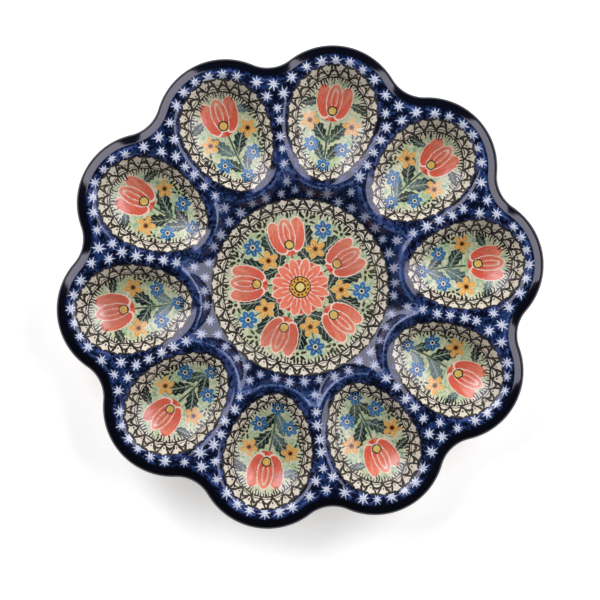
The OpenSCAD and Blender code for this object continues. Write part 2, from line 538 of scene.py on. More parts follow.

# %% [markdown]
# ## Cobalt with white stars
# The real ground is sponged: near-black cobalt with lighter blue specks showing through, and where the glaze
# runs thin over a rounded edge it breaks to a lighter, streaky blue. Painted highlights and sheen lie over
# this:
# light lines on the crests, lilac streaks on the wells' shoulders and a line inside the rim's band, and
# painted shade darkens the slope of the bowl. The stars are stamped in white slip, each with eight thin rays
# that never come out alike.
# Each face corner knows where it lies from the middle of the nearest star, so one drawing of a star, with a
# chance number that changes its rays, gives all of them.

# %% A star of eight uneven rays
def petal_frame(x, y, petals, turn=0.0):
    """Folds the plane into one petal: along its middle line, beside it, the radius and the petal's number."""
    sector = 2 * math.pi / petals
    turned_by = (y.bearing(x) + turn) / sector
    petal = (turned_by + 0.5).whole()
    off = (turned_by - petal) * sector
    radius = distance(x, y)
    return radius * off.cosine(), radius * off.sine(), radius, petal


def star(x, y, seed):
    """White where a ray or the middle of the star is; x and y in millimetres from its middle."""
    along, beside, radius, ray = petal_frame(x, y, 8, seed * 6.28)
    reach = 3.1 + chance(ray, seed * 31.7, 1.0) * 1.7
    body = (1 - along / reach) * 0.84 - abs(beside)
    return body.from_to(-0.02, 0.12).most(radius.from_to(1.35, 0.95))


# %% The sponged ground of the cobalt glaze
cobalt, tree, shader, place = glaze_material("cobalt_with_stars", 0.07, 0.4)
blots, flecks = clouds(place, 0.3, 5.0, 0.62, 0.9), clouds(place, 1.0, 3.0, 0.6, 0.5)
drift, streaks = clouds(place, 0.06, 2.0), clouds(place, 0.3, 4.0, 0.62, 1.4)
edge, band, crest = [Tone(stored(tree, name, "Fac")) for name in ("rounded", "band", "crest")]
across, up, _ = split(place)
outward = distance(across, up).from_to(56.0, 80.0)      # 0 on the slope of the bowl, 1 between the wells
ground = coats(
    "#030920",
    ("#233f78", (blots + (drift - 0.5) * 0.3).from_to(0.48, 0.62) * 0.85),
    ("#4667a4", flecks.from_to(0.56, 0.7) * blots.from_to(0.44, 0.6) * 0.75),
    ("#020614", (1 - flecks).from_to(0.52, 0.64) * 0.85),
    ("#2b5191", crest.from_to(0.2, 0.8) * (streaks + flecks * 0.6).from_to(0.66, 0.86) * 0.55),
    # painted sheen: lilac streaks on the rounded shoulders of the wells and the flanks of the crests
    ("#6472b4", edge.from_to(0.2, 0.4) * (streaks + drift * 0.5).from_to(0.72, 0.88) * 0.6),
    # a lighter blue where the glaze breaks thin over the crests, with a painted highlight line along their
    # edges
    ("#7f9bd6", edge.from_to(0.6, 1.0) * streaks.from_to(0.36, 0.6) * 0.85),
    # painted sheen: a blue-violet streaky line just inside the dark band of the rim
    ("#5a70b2", (band - 0.4).line(0.1, 0.16) * (streaks + drift * 0.6).from_to(0.76, 0.92) * 0.75),
    # painted shade: the cobalt is darker on the slope of the bowl, the sunken wall round the centre
    ("#070c22", (1 - outward) * 0.4))

# %% The stars and the dark band of the rim, over the ground
x, y, seed = split(stored(tree, "from_star"))
wobble, wobble_2 = clouds(place, 0.5, 2.0), clouds(place, 0.62, 2.0)
size = 0.76 + (seed * 7.3).fraction() * 0.26 + outward * 0.09
x, y = (x + (wobble - 0.5) * 1.3) / size, (y + (wobble_2 - 0.5) * 1.3) / size
white = star(x, y, seed) * clouds(place, 1.4, 2.0).from_to(0.1, 0.4)
rim_band = (band + (blots - 0.5) * 0.4).from_to(0.7, 0.98) * band.from_to(0.58, 0.66)
feed(shader.inputs["Base Color"], coats(
    ground,
    ("#4b6bb4", distance(x, y).from_to(4.2, 1.0) * 0.4),
    # painted shade: the stars are dimmer on the slope of the bowl
    (paint("#a9b4d8", "#eaedf4", flecks.from_to(0.3, 0.6)), white * (0.55 + outward * 0.42)),
    (paint("#020309", "#080d24", flecks.from_to(0.4, 0.8)), rim_band)))
print("cobalt:", len(tree.nodes), "nodes")

# %% [markdown]
# ## Brushwork for the wells and the centre
# The painted fields are folk painting of a common kind: tulips, leaves, small ochre and blue flowers, dots
# and a wreath, on a pale green ground that shows the brush, inside a trellis of dark lines on cream.
# Each motif is a node group that draws itself in its own frame, where it reaches from -1 to 1. A face corner
# knows where it lies in the motif laid there, and which motif that is, so the same drawing can be set down
# many times, turned and sized, with a seed that changes its colour a little.

# %% Small drawing helpers
SLIP, INK = "#fde0cf", "#1b1512"      # the pale outline of a petal, and the dark one of a flower's heart


def round_off(x, y, cx, cy, long, wide, turn=0.0):
    """1 on the edge of an ellipse, less inside it."""
    c, s = math.cos(turn), math.sin(turn)
    u, v = (x - cx) * c + (y - cy) * s, (y - cy) * c - (x - cx) * s
    return ((u / long).power(2.0) + (v / wide).power(2.0)).power(0.5)


def motif(name):
    """A group that draws one motif: takes the place in its frame, and gives a colour and a mask."""
    group, given, out = new_group(name, {"Frame": VECTOR, "Brush": NUMBER},
                                  {"Colour": COLOUR, "Mask": NUMBER})
    x, y, seed = split(given["Frame"])
    brush = Tone(given["Brush"])
    wander = (brush - 0.5) * 0.12
    return group, x + wander, y - wander, seed, brush, out


def brush_strokes(place, degrees, width):
    """Clouds drawn out one way, as a flat brush leaves them; width is in strokes to the millimetre."""
    x, y, _ = split(place)
    c, s = math.cos(math.radians(degrees)), math.sin(math.radians(degrees))
    return clouds(combine((x * c + y * s) * 0.28, y * c - x * s), width, 2.0, 0.5, 0.3)


# %% Leaf
leaf, x, y, seed, brush, out = motif("leaf")
half = (1 - x * x).most(0.0) * (0.4 + 0.06 * (x * 15.0).sine())
beside = abs(y + x * x * 0.1 - 0.05)
rib = beside.from_to(0.045, 0.015) * (1 - abs(x)).from_to(0.05, 0.3)
veins = (x * 3.4 - beside * 4.2).stripes(0.06, 0.05) * (half * 0.72 - beside).from_to(0.0, 0.04)
give(out, Mask=(half - beside).from_to(-0.02, 0.03), Colour=coats(
    "#0c1a19",
    ("#31504c", (brush + seed * 0.3).from_to(0.45, 0.95)),
    ("#7d939a", (brush * 0.6 + seed - x * 0.2).from_to(0.85, 1.3) * 0.8),
    ("#4f7a5c", (x * -1.0 + brush * 0.5).from_to(0.6, 1.3) * 0.5),
    ("#c0c8b0", rib.most(veins) * 0.75)))

# %% Tulip
tulip, x, y, seed, brush, out = motif("tulip")
lean = abs(y)
outer = round_off(x, lean, 0.06, 0.46, 0.86, 0.40, 0.20)
inner, cup = round_off(x, y, 0.16, 0.0, 0.80, 0.38), round_off(x, y, -0.42, 0.0, 0.46, 0.58)
flame, heart = round_off(x, y, 0.22, 0.0, 0.5, 0.15), round_off(x, y, -0.36, 0.0, 0.2, 0.2)
shade = brush_strokes(combine(x, y, seed * 9.0), 0, 7.0)
coral = paint("#e65c45", "#f8967a", (shade * 0.7 + brush * 0.3 + x * 0.25).from_to(0.38, 0.72))
strokes = (lean * 7.0 + x * 1.2).stripes(0.1, 0.1) * (x - lean).from_to(0.1, 0.5)
thin = (brush * 0.9 + seed * 0.3).from_to(0.5, 0.72) * outer.least(inner).from_to(1.05, 0.6)
give(out, Mask=outer.least(inner).least(cup).from_to(1.02, 0.95), Colour=coats(
    "#cf4735",
    ("#f0775c", (shade * 0.6 + brush * 0.4).from_to(0.4, 0.62)),
    (coral, outer.from_to(0.98, 0.7)),
    (SLIP, (outer - 0.95).line(0.06, 0.03)),
    (coral, inner.from_to(1.0, 0.94)),
    (SLIP, (inner - 0.96).line(0.06, 0.03)),
    (SLIP, (flame - 0.9).line(0.13, 0.07) * inner.from_to(1.0, 0.95) * 0.9),
    ("#ffc9b0", strokes * outer.from_to(0.85, 0.6) * inner.from_to(1.0, 1.1) * 0.8),
    ("#e9c765", heart.from_to(1.0, 0.85)),
    (INK, (heart - 1.05).line(0.16, 0.08)),
    ("#a8695a", thin * 0.5)))

# %% Coral sunflower for the middle
PETALS = 12
sunflower, x, y, _, brush, out = motif("sunflower")
along, beside, radius, _ = petal_frame(x, y, PETALS)
back_along, back_beside, _, _ = petal_frame(x, y, PETALS, math.pi / PETALS)
ray = round_off(along, beside, 0.66, 0.0, 0.36, 0.17)
back_ray = round_off(back_along, back_beside, 0.62, 0.0, 0.34, 0.16)
dots = ((along - 0.27).power(2.0) + beside * beside).power(0.5)
give(out, Mask=ray.least(back_ray).from_to(1.02, 0.96).most(radius.from_to(0.55, 0.5)), Colour=coats(
    "#d04a36",
    ("#e86a52", brush.from_to(0.2, 0.8)),
    ("#f9c8b2", (back_ray - 0.95).line(0.05, 0.05)),
    (paint("#ea5f48", "#fa977a", (brush * 0.6 + along * 0.5).from_to(0.3, 0.95)), ray.from_to(1.0, 0.92)),
    (SLIP, (ray - 0.95).line(0.08, 0.05)),
    ("#fbd0ba", beside.line(0.017, 0.012) * along.from_to(0.3, 0.42) * along.from_to(0.72, 0.6)),
    (paint("#e39a33", "#f1bd55", brush), radius.from_to(0.36, 0.33)),
    ("#2a1712", dots.from_to(0.045, 0.025)),
    (INK, (radius - 0.17).line(0.03, 0.015).most((radius - 0.355).line(0.02, 0.012))),
    ("#ecd98a", radius.from_to(0.15, 0.13)),
    ("#b5604c", brush.from_to(0.56, 0.7) * 0.35)))

# %% Ochre and blue small flowers
def small_flower(name, petals, dark, light, edge_colour, wide, heart_colour):
    group, x, y, seed, brush, out = motif(name)
    along, beside, radius, _ = petal_frame(x, y, petals)
    shape = round_off(along, beside, 0.58, 0.0, 0.42, wide)
    middle_line = beside.line(0.03, 0.025) * along.from_to(0.3, 0.4) * along.from_to(0.75, 0.6)
    give(out, Mask=shape.from_to(1.02, 0.92).most(radius.from_to(0.34, 0.28)), Colour=coats(
        dark,
        (light, (brush * 0.9 + along * 0.35 + seed * 0.2).from_to(0.35, 1.0)),
        (edge_colour, (shape - 0.94).line(0.05, 0.06) * 0.8),
        (edge_colour, middle_line),
        (heart_colour, radius.from_to(0.3, 0.24)),
        ("#16110f", radius.from_to(0.19, 0.13))))
    return group


ochre_flower = small_flower("ochre_flower", 5, "#cf8a2e", "#f0b45c", "#f6dba8", 0.3, "#a5601e")
blue_flower = small_flower("blue_flower", 6, "#153f6c", "#3478b0", "#93bad6", 0.31, "#e6dcc0")

# %% Spray of dark dots
spray, x, y, _, brush, out = motif("spray")
along, beside, radius, _ = petal_frame(x, y, 7)
dots = round_off(along, beside, 0.64, 0.0, 0.34, 0.15).least(radius * 5.5)
give(out, Colour=paint("#1d1510", "#4a3a2c", brush), Mask=dots.from_to(1.05, 0.85) * x.from_to(-0.35, -0.15))

MOTIFS = {"leaf": leaf, "tulip": tulip, "sunflower": sunflower, "ochre": ochre_flower, "blue": blue_flower,
          "spray": spray}
KINDS = {name: number for number, name in enumerate(MOTIFS, start=1)}
print("motifs:", KINDS)

# %% [markdown]
# ## The painted ground, the trellis and the layers of paint
# A painter lays the pale green first, in short dabs that let the cream clay show, then stems and leaves, then
# the flowers, and last the dark trellis near the edge. The painting group does the same in the same order.
# It reads four things from the face corners: the frame of the motif that lies under, the frame of the one
# over it, the place along and across the nearest stem, and the place along and across the trellis.

# %% The trellis border
trellis, given, out = new_group("trellis", {"Edge": VECTOR, "Place": VECTOR},
                                {"Ink": NUMBER, "Inside": NUMBER})
place = given["Place"]
u, v, _ = split(given["Edge"])
shake, shake_2, press = clouds(place, 0.3, 2.0), clouds(place, 0.36, 2.0), clouds(place, 0.5, 1.0)
u, v = u + (shake - 0.5) * 0.3, v + (shake_2 - 0.5) * 0.22
SLANT, SOFT, RAIL_SOFT = 0.62, 0.012, 0.014
pen = 0.042 + press * 0.09
peaks = (v - 0.66 + abs((u + 0.5).fraction() - 0.5) * SLANT).line(pen * 0.8, SOFT) * v.from_to(0.2, 0.24)
lattice = (u + v * SLANT).stripes(pen, SOFT).most((u - v * SLANT).stripes(pen, SOFT)).most(peaks)
bay = v + 0.02 - abs((u * (2 * math.pi)).sine()) * 0.12
scallop = bay.line(0.032, SOFT).most(bay.from_to(0.0, -0.03))
rail = (v - 0.8).line(0.05, RAIL_SOFT).most((v - 0.66).line(0.012 + press * 0.03, RAIL_SOFT))
tick = u * 3.5 + (press - 0.5) * 1.2
tick_end = 1.0 + chance(tick.whole(), 3.0, 5.0) * 0.38
tick_width = 0.17 + (tick_end - v).most(0.0) * 0.4
ticks = tick.stripes(tick_width.least(0.3), 0.05) * v.from_to(0.76, 0.8) * (tick_end - v).from_to(0.0, 0.03)
middle_u = (u * 2.0 + 0.5).fraction() - 0.5
dots = ((middle_u * 0.5).power(2.0) + (v - 0.42).power(2.0)).power(0.5).from_to(0.075, 0.045)
give(out, Ink=(lattice * v.from_to(0.82, 0.78)).most(scallop).most(rail).most(ticks).most(dots),
     Inside=v.from_to(0.72, 1.3))

# %% The painting: the green field, and the stems
painting, given, out = new_group(
    "painting", dict.fromkeys(("Over", "Under", "Stem", "Edge", "Place"), VECTOR), {"Colour": COLOUR})
place = given["Place"]
wash, brush = clouds(place, 0.09, 2.0), clouds(place, 0.55, 4.0, 0.6, 0.8)
dabs = clouds(place, 0.22, 4.0, 0.6, 1.6)
field = coats(
    "#e0dabb",
    ("#b6c89b", (dabs + wash * 0.4).from_to(0.54, 0.78)),
    ("#88b388", brush_strokes(place, 25, 0.78).from_to(0.5, 0.57) * (wash + dabs).from_to(0.85, 1.15) * 0.9),
    ("#ebe1c6", brush_strokes(place, 82, 0.85).from_to(0.54, 0.61) * 0.7),
    ("#6da084", brush_strokes(place, 140, 0.8).from_to(0.54, 0.6) * (1 - wash).from_to(0.42, 0.6) * 0.85),
    ("#dccf88", clouds(place, 0.13, 3.0, 0.6, 1.0).from_to(0.56, 0.72) * 0.5))
ink, inside = use_group(trellis, given["Edge"], place)
along, across, width = split(given["Stem"])
stem = (across + (brush - 0.5) * 0.3).line(width, 0.12) * along.from_to(0.0, 0.05) * along.from_to(1.0, 0.93)
colour = coats(
    "#dccfb8",
    ("#f0e8d8", dabs.from_to(0.3, 0.65)),
    (field, inside),
    (paint("#26332c", "#4a5f50", brush), stem * 0.95))

# %% The painting: the motifs and the ink, and the material of the linings
for layer, kinds in (("Under", ("leaf", "spray")), ("Over", ("tulip", "sunflower", "ochre", "blue"))):
    u, v, kind = split(given[layer])
    seed = kind.fraction()
    for name in kinds:
        drawn, mask = use_group(MOTIFS[name], combine(u, v, seed), brush)
        colour = paint(colour, drawn, mask * kind.whole().compare(float(KINDS[name]), 0.5))
give(out, Colour=paint(colour, paint("#100e0d", "#2a2420", brush.from_to(0.45, 0.9)), ink * 0.97))

painted, tree, shader, place = glaze_material("painted_lining", 0.17, 0.4)
frames = [stored(tree, name) for name in ("over", "under", "stem", "edge")]
pooled = clouds(place, 0.05, 2.0).from_to(0.35, 0.75)
feed(shader.inputs["Base Color"], paint(use_group(painting, *frames, place)[0], "#d9d6b4", pooled * 0.06))

# %% [markdown]
# ## Clear glaze and bare clay
# Underneath, the ware is dipped in clear glaze only, over cream stoneware with small iron specks. The foot
# ring is wiped clean before firing, so that it doesn't stick to the kiln shelf, and its clay stays matt.

# %% Clear glaze over cream clay
clear, tree, shader, place = glaze_material("clear_glaze_on_cream", 0.12, 0.5)
specks = clouds(place, 1.3, 1.0).from_to(0.72, 0.78)
feed(shader.inputs["Base Color"], coats(
    "#ded1b4",
    ("#e8dcc4", clouds(place, 0.05, 4.0).from_to(0.3, 0.7)),
    ("#c4ae86", clouds(place, 0.4, 5.0, 0.7).from_to(0.58, 0.8) * 0.3),
    ("#6b4a2c", specks * clouds(place, 0.25, 1.0).from_to(0.4, 0.6) * 0.8)))

# %% Bare clay of the foot
bare, tree, shader = new_material("bare_clay_foot")
place = in_mm(tree)
grain, wiped = clouds(place, 1.4, 5.0, 0.75), clouds(place, 0.12, 3.0)
clay = coats(
    "#b89a72",
    ("#d6bf9a", (grain * 0.6 + wiped * 0.5).from_to(0.35, 0.75)),
    ("#7d5c3c", clouds(place, 0.9, 1.0).from_to(0.7, 0.76) * 0.7))
fill(shader, {"Base Color": clay, "Roughness": 0.72 + grain * 0.2, "Normal": bump(grain, 0.7, 0.12)})
print("materials:", [m.name for m in bpy.data.materials])

# %% [markdown]
# ## The cobalt ground
# Cobalt covers everything on the top side but the painted fields: the web, the ridges between the wells, the
# crests round their narrow ends, the slope of the bowl and the rolled rim, and it wraps a little way under.
# One cell of it goes from the edge of a well's lining out to the borders of the well's own sector. Its rows
# run round the well, close together at the rounded shoulder. The rim is a second grid, swept along the
# outline. Spin repeats both for the ten lobes, and welding closes the seams.

# %% The two borders of one cell of the web
AROUND_OUT, AROUND_SIDE, AROUND_IN = 64, 37, 22      # steps along the rim, a side and the bowl's edge
LEAVES_RIM, LEAVES_BOWL = math.radians(72), math.radians(154)    # where, round the well, the corners lie


def spaced(start, end, steps):
    return np.linspace(start, end, steps + 1)[:-1]


stops = [-LEAVES_RIM, LEAVES_RIM, LEAVES_BOWL, 2 * math.pi - LEAVES_BOWL, 2 * math.pi - LEAVES_RIM]
steps = [AROUND_OUT, AROUND_SIDE, AROUND_IN, AROUND_SIDE]
turns = np.concatenate([spaced(*part) for part in zip(stops, stops[1:], steps)])
well_edge = lining_edge(turns)

rim_corner, bowl_corner = polar(NOTCH_C - NOTCH_R - RIM_W, PITCH / 2), polar(LINING_R, PITCH / 2)
along_side = spaced(0, 1, AROUND_SIDE)[:, None]
outer_border = np.concatenate([
    outline_point(spaced(-1, 1, AROUND_OUT), RIM_W),
    rim_corner * (1 - along_side) + bowl_corner * along_side,
    polar(LINING_R, spaced(PITCH / 2, -PITCH / 2, AROUND_IN)),
    (bowl_corner * (1 - along_side) + rim_corner * along_side) * [1, -1]])
print("points round a cell:", len(well_edge), "inside,", len(outer_border), "outside")

# %% The web and the rim
CELL_ROWS, CLOSE_ROWS_W, SPREAD = 20, 9.0, 2.4       # the rows are close over this width, then spread
RIM_TOP = [(6.4, 28.0), (5.9, 27.97), (5.4, 27.84), (4.8, 27.56), (4.0, 27.12), (3.1, 26.6), (2.2, 26.06),
           (1.5, 25.58), (0.95, 25.1), (0.5, 24.5), (0.2, 23.75), (0.06, 22.9), (0.05, 22.1), (0.18, 21.5),
           (0.55, 21.12), (1.1, 21.0), (1.7, 21.0)]  # inset from the outline, and height

# the last column of a cell meets the first
start, end = closed(well_edge), closed(outer_border)
span = np.linalg.norm(end - start, axis=1, keepdims=True)
close = np.minimum(span, CLOSE_ROWS_W)
cell_rows = [on_top(start + (end - start) * (close * share + (span - close) * share ** SPREAD) / span)
             for share in np.linspace(0, 1, CELL_ROWS + 1)]
ground_bm = new_grid(cell_rows)
shares = np.linspace(-1, 1, AROUND_OUT + 1)
new_grid([at_height(outline_point(shares, inset), z) for inset, z in RIM_TOP], ground_bm)
bmesh.ops.spin(ground_bm, geom=ground_bm.verts[:] + ground_bm.edges[:] + ground_bm.faces[:], cent=(0, 0, 0),
               axis=(0, 0, 1), angle=2 * math.pi * (LOBES - 1) / LOBES, steps=LOBES - 1, use_duplicate=True)
weld(ground_bm)
face_up(ground_bm)
ground_mesh = finished_mesh(ground_bm, "cobalt_ground")
place_piece(ground_mesh, [cobalt], "stoneware_body", coat=GLAZE)

# %% [markdown]
# ## Where the stars go
# A decorator stamps the stars by eye, in rows: one round each lobe inside the rim, one along each ridge,
# which becomes a pair where the web widens, a ring on the slope of the bowl, and one where two crests meet.
# The places below are laid out in the same rows, then shifted a little by a seeded random draw.

# %% Places of the stars
RIDGE_STARS = [(71.5, 0.0), (79.5, 0.0), (87.5, 0.0), (95.5, 0.0), (103.2, 0.0), (110.4, 4.7), (110.4, -4.7),
               (117.0, 0.0)]
RIM_ROW_IN, RIM_ROW_REACH, BOWL_RING_R, CREST_STAR_R, SHIFT = 9.4, 0.84, 54.6, 61.5, 0.4
lobe_stars = np.vstack([
    outline_point(np.linspace(-RIM_ROW_REACH, RIM_ROW_REACH, 8), RIM_ROW_IN),
    turned(np.array(RIDGE_STARS), PITCH / 2),
    polar(BOWL_RING_R, (np.arange(4) - 1.5) * PITCH / 4), polar(CREST_STAR_R, np.array([PITCH / 2]))])
hand = np.random.default_rng(20)
hand.random(12000)                    # passed over: the look was settled on the draws that come after these
all_stars = []
for lobe in range(LOBES):
    moved = turned(lobe_stars + hand.normal(0, SHIFT, lobe_stars.shape), lobe * PITCH)
    all_stars.append(np.column_stack([moved, hand.uniform(0.05, 0.95, len(moved))]))
all_stars = np.vstack(all_stars)
print("stars:", len(lobe_stars), "to a lobe,", len(all_stars), "in all")

# %% Telling each face corner about its star
spots, middles, vertex, face = read_mesh(ground_mesh)
own_star = all_stars[nearest(middles, all_stars)[0][face]]
keep(ground_mesh, "from_star", np.column_stack([spots[vertex] - own_star[:, :2], own_star[:, 2]]))

# %% Rounded edges, crests and the rim's band, for the colour of the glaze and its painted highlights and sheen
CREST_BLEND, BAND_TO, BAND_W = 7.0, 9.4, 4.5         # the band fades out over its width, inside the outline
keep(ground_mesh, "rounded", top_height(*spots.T)[1])
(lobe_x, lobe_y), radius = to_lobe(*spots.T), np.hypot(*spots.T)
keep(ground_mesh, "crest", lower_of(web_height(radius), bowl_height(lobe_x, lobe_y, radius), CREST_BLEND)[1])
on_lobe = np.arctan2(np.abs(lobe_y), lobe_x - LOBE_C) < LOBE_TURN
inset = np.where(on_lobe, LOBE_R - np.hypot(lobe_x - LOBE_C, lobe_y),
                 np.hypot(lobe_x - NOTCH_XY[0], np.abs(lobe_y) - NOTCH_XY[1]) - NOTCH_R)
keep(ground_mesh, "band", np.clip((BAND_TO - inset) / BAND_W, 0, 1) * (radius > MOUTH_R))
print("values on the cobalt ground:", [a.name for a in ground_mesh.attributes if a.name[0] != "."])

# %% [markdown]
# ## The painted linings
# Each lining is a thin, closed coat let in flush: its rows run from the edge of the field to a pole in the
# middle of the well. All ten have the same shape, so one is made, dressed with its drawing, and turned to
# each lobe. No two wells are painted alike: the same seeded hand shifts each motif a little and changes its
# colour, and the brushwork follows Object coordinates, which differ from well to well.

# %% A lining's mesh and its border frame
BORDER_POINTS = 3000                  # how finely a border is walked


def lining_sheet(border, middle, rows, name):
    """A sheet from a closed border in to a middle point, following the top."""
    inward = closed(border) - middle
    bm = new_grid([on_top(middle + inward * (1 - k / rows)) for k in range(rows + 1)])
    weld(bm)
    face_up(bm)
    return finished_mesh(bm, name)


def edge_frames(mesh, border, repeats, width_at):
    """For each corner, how far round the border it is, in repeats of the trellis, and how deep in it."""
    loop = closed(border)
    length = np.concatenate([[0], np.cumsum(np.linalg.norm(np.diff(loop, axis=0), axis=1))])
    fine = spaced(0, length[-1], BORDER_POINTS)
    dense = np.column_stack([np.interp(fine, length, loop[:, 0]), np.interp(fine, length, loop[:, 1])])
    spots, _, vertex, face = read_mesh(mesh)
    number, depth = nearest(spots, dense)
    around, deep = (number / len(dense) * repeats)[vertex], (depth / width_at(dense[number]))[vertex]
    # where the border closes on itself, all corners of a face are counted from the same end
    lead = around[np.concatenate([[True], face[1:] != face[:-1]])][face]
    around = around + np.round((lead - around) / repeats) * repeats
    return np.column_stack([around, deep, np.zeros(len(vertex))])

# %% [markdown]
# ## Laying out the motifs
# A motif is laid down as its kind, the middle, the way it points and its size. Each face takes the motif
# whose shape it lies deepest in, one for the layer under and one for the layer over. Stems are shallow
# curves, and each face knows how far along and beside its nearest stem it lies.

# %% Motifs and stems on the corners
FLATNESS = {"leaf": 0.52, "tulip": 0.95}      # width to length; the other motifs are round
FAR_AWAY = 50.0                       # what a place past a stem's end counts as, in stem lengths


def motif_frames(mesh, layout, palest=0.9):
    """A frame for each corner, from a list of (kind, x, y, pointing in degrees, size)."""
    spots, middles, vertex, face = read_mesh(mesh)
    depth, frames, seeds = [], [], []
    for kind, x, y, pointing, size in layout:
        c, s = math.cos(math.radians(pointing)), math.sin(math.radians(pointing))
        turn_in = np.array([[c, -s], [s, c]]) / size
        local = (middles - [x, y]) @ turn_in
        depth.append(np.hypot(local[:, 0], local[:, 1] / FLATNESS.get(kind, 1)))
        frames.append((spots - [x, y]) @ turn_in)
        seeds.append(KINDS[kind] + hand.uniform(0.05, palest))      # a high seed makes a pale leaf
    own = np.argmin(np.array(depth), axis=0)[face]
    return np.column_stack([np.array(frames)[own, vertex], np.array(seeds)[own]])


def beside_stem(points, stem):
    """Along a stem, from 0 to 1, and across it; a stem is two ends, a bulge and a half width."""
    x0, y0, x1, y1, bulge, width = stem
    chord = np.array([x1 - x0, y1 - y0])
    length = np.linalg.norm(chord)
    way = chord / length
    local = points - [x0, y0]
    along = local @ way / length
    across = local @ [-way[1], way[0]] - bulge * 4 * along * (1 - along)
    return np.column_stack([along, across, np.full(len(points), width)])


def stem_frames(mesh, stems):
    """The place beside the nearest stem, for each corner."""
    spots, middles, vertex, face = read_mesh(mesh)
    guesses = [beside_stem(middles, stem) for stem in stems]
    off = [np.abs(g[:, 1]) + np.maximum(np.maximum(-g[:, 0], g[:, 0] - 1), 0) * FAR_AWAY for g in guesses]
    own = np.argmin(np.array(off), axis=0)[face]
    return np.array([beside_stem(spots, stem) for stem in stems])[own, vertex]


# %% One well's drawing, seen with its narrow end to the left
WELL_OVER = [("tulip", 107.2, 0, 0, 12.0), ("ochre", 95.2, 12.0, 60, 5.6), ("ochre", 95.2, -12.0, -60, 5.6),
             ("blue", 81.6, 9.2, 0, 4.8), ("blue", 81.6, -9.2, 30, 4.8), ("blue", 70.6, 0, 0, 4.3)]
WELL_UNDER = [(kind, x, side * y, side * way, size) for kind, x, y, way, size in (
    ("leaf", 91.6, 6.0, 38, 9.2), ("leaf", 79.8, 4.0, 30, 7.0), ("leaf", 106.5, 14.4, 112, 5.8),
    ("spray", 87.4, 14.6, 84, 4.8)) for side in (1, -1)]
WELL_STEMS = [(71.5, 0, 97.0, 0, 0.5, 0.5)] + [
    (x0, side * y0, x1, side * y1, side * bulge, half_w) for x0, y0, x1, y1, bulge, half_w in (
        (83.0, 0.3, 92.5, 10.2, -1.3, 0.36), (73.5, 0.2, 80.5, 7.4, 1.0, 0.34)) for side in (1, -1)]
WELL_REPEATS, WELL_ROWS, POLE_IN = 22, 32, 1.5
BORDER_W, BORDER_GAIN, GAIN_FROM, GAIN_OVER = 6.4, 2.2, 88.0, 30.0


def well_border_width(points):
    """The trellis is wider at the well's outer end, as on the real ware."""
    return BORDER_W + BORDER_GAIN * np.clip((points[:, 0] - GAIN_FROM) / GAIN_OVER, 0, 1)


lining_mesh = lining_sheet(well_edge, [WELL_R - POLE_IN, 0.0], WELL_ROWS, "well_lining")
keep(lining_mesh, "edge", edge_frames(lining_mesh, well_edge, WELL_REPEATS, well_border_width))
keep(lining_mesh, "stem", stem_frames(lining_mesh, WELL_STEMS))
print("a well's lining:", len(lining_mesh.polygons), "faces;", len(WELL_OVER) + len(WELL_UNDER), "motifs")

# %% The ten linings, each in a slightly different hand
STRAY, STRAY_TURN, STRAY_SIZE = 0.35, 4, 0.05        # how far the hand strays: mm, degrees, share of the size
for lobe in range(LOBES):
    mesh = lining_mesh.copy()
    mesh.name = f"well_lining_{lobe + 1:02d}"
    shifted = [[(kind, x + hand.normal(0, STRAY), y + hand.normal(0, STRAY), way + hand.normal(0, STRAY_TURN),
                 size * hand.uniform(1 - STRAY_SIZE, 1 + STRAY_SIZE)) for kind, x, y, way, size in layout]
               for layout in (WELL_OVER, WELL_UNDER)]
    for name, layout in zip(("over", "under"), shifted):
        keep(mesh, name, motif_frames(mesh, layout))
    mesh.transform(Matrix.Rotation(lobe * PITCH, 4, "Z"))
    place_piece(mesh, [painted], f"well_glaze_{lobe + 1:02d}", coat=GLAZE)
bpy.data.meshes.remove(lining_mesh)

# %% [markdown]
# ## The centre
# The centre holds a wreath: a coral sunflower in the middle, five tulips that point outward, and between them
# pairs of leaves with ochre and blue flowers. It is built like a well's lining, on a round border.

# %% The centre's drawing
centre_over, centre_under, centre_stems = [("sunflower", 0, 0, 10, 16.8)], [], []


def at(radius, degrees):
    return polar(radius, math.radians(degrees))


for fifth in range(5):
    way, between = 72 * fifth + 25, 72 * fifth + 61
    centre_over += [("tulip", *at(29.4, way), way, 12.2), ("blue", *at(35.4, between), way, 5.6),
                    ("ochre", *at(23.6, between), way, 6.0)]
    for side in (-1, 1):
        centre_under += [("leaf", *at(30.6, between + side * 15.5), between + side * 26, 10.4),
                         ("leaf", *at(19.8, between + side * 17.0), between + side * 62, 7.0),
                         ("spray", *at(38.4, between + side * 16.5), between + side * 14, 5.8)]
        centre_stems.append((*at(17.5, between), *at(30.0, between + side * 16), side * -1.0, 0.4))
    centre_stems += [(*at(16.0, way), *at(24.0, way), 0.2, 0.5),
                     (*at(17.0, between), *at(32.0, between), 0.3, 0.4)]
print("motifs in the centre:", len(centre_over) + len(centre_under))

# %% The centre's lining
CENTRE_REPEATS, CENTRE_ROWS, CENTRE_BORDER_W = 38, 44, 8.2
centre_edge = polar(LINING_R, spaced(0, 2 * math.pi, LOBES * AROUND_IN))
centre = lining_sheet(centre_edge, [0.0, 0.0], CENTRE_ROWS, "centre_lining")
place_piece(centre, [painted], "centre_glaze", coat=GLAZE)
keep(centre, "edge", edge_frames(centre, centre_edge, CENTRE_REPEATS, lambda points: CENTRE_BORDER_W))
keep(centre, "stem", stem_frames(centre, centre_stems))
keep(centre, "over", motif_frames(centre, centre_over))
keep(centre, "under", motif_frames(centre, centre_under, palest=0.5))

